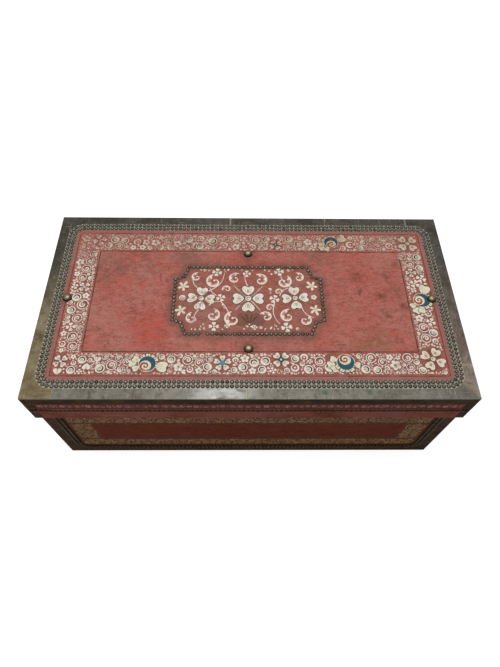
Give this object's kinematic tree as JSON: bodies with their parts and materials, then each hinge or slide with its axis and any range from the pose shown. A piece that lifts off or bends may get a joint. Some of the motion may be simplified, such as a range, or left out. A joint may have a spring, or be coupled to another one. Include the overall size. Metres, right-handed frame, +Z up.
{
  "type": "leather covered trunk",
  "caption": "Rectangular leather-covered wooden trunk with a flat hinged lid, brass-edged and close-nailed, painted in panels, with bail handles on the ends.",
  "frame": {"origin": "on the standing surface, under the middle of the trunk's bounding box", "axes": "+Z up, +X along the width to the right seen from the front, -Y towards the front"},
  "size_m": [0.931, 0.4899, 0.343],
  "materials": {
    "camphorwood": "bare, planed",
    "painted_leather": "painted and worn",
    "plain_leather": "faded",
    "sheet_brass": "darkened with age",
    "nail_brass": "rubbed bright on the crowns",
    "cast_brass": "handled, dull"
  },
  "bodies": {
    "case": {"bottom_board": "camphorwood", "front_board": "camphorwood", "back_board": "camphorwood", "left_board": "camphorwood", "right_board": "camphorwood", "lip_front": "camphorwood", "lip_left": "camphorwood", "lip_right": "camphorwood", "case_leather": "painted_leather", "case_corner_front_left": "sheet_brass", "case_corner_front_right": "sheet_brass", "case_corner_back_left": "sheet_brass", "case_corner_back_right": "sheet_brass", "base_edging_front": "sheet_brass", "base_edging_back": "sheet_brass", "base_edging_left": "sheet_brass", "base_edging_right": "sheet_brass", "case_nails_front": "nail_brass", "case_nails_back": "nail_brass", "case_nails_ends": "nail_brass", "hinge_leaf_case_left": "cast_brass", "hinge_leaf_case_right": "cast_brass", "hinge_pin_left": "cast_brass", "hinge_pin_right": "cast_brass", "hinge_nails_case": "nail_brass", "handle_plate_left": "cast_brass", "handle_plate_right": "cast_brass", "handle_nails": "nail_brass"},
    "lid": {"lid_top_board": "camphorwood", "lid_front_board": "camphorwood", "lid_back_board": "camphorwood", "lid_left_board": "camphorwood", "lid_right_board": "camphorwood", "lid_leather": "painted_leather", "lid_hem_front": "plain_leather", "lid_hem_back": "plain_leather", "lid_hem_left": "plain_leather", "lid_hem_right": "plain_leather", "top_edging_front_short": "sheet_brass", "top_edging_front_left": "sheet_brass", "top_edging_front_right": "sheet_brass", "top_edging_right_short": "sheet_brass", "top_edging_right": "sheet_brass", "top_edging_back_short": "sheet_brass", "top_edging_back_left": "sheet_brass", "top_edging_back_right": "sheet_brass", "top_edging_left": "sheet_brass", "lid_corner_front_left": "sheet_brass", "lid_corner_front_right": "sheet_brass", "lid_corner_back_left": "sheet_brass", "lid_corner_back_right": "sheet_brass", "lid_top_nails": "nail_brass", "cartouche_nails": "nail_brass", "lid_side_nails": "nail_brass", "lid_bosses": "nail_brass", "hinge_leaf_lid_left": "cast_brass", "hinge_leaf_lid_right": "cast_brass", "hinge_nails_lid": "nail_brass"},
    "bail_left": {"bail_left": "cast_brass"},
    "bail_right": {"bail_right": "cast_brass"}
  },
  "joints": [
    {"name": "lid_hinge", "type": "hinge", "parent": "case", "child": "lid", "pos_m": [0, 0.2397, 0.238], "axis": [-1, 0, 0], "range_deg": [0, 100]},
    {"name": "bail_left_swing", "type": "hinge", "parent": "case", "child": "bail_left", "pos_m": [-0.458, -0.0002, 0.168], "axis": [0, 1, 0], "range_deg": [-5, 175]},
    {"name": "bail_right_swing", "type": "hinge", "parent": "case", "child": "bail_right", "pos_m": [0.458, -0.0002, 0.168], "axis": [0, -1, 0], "range_deg": [-5, 175]}
  ]
}
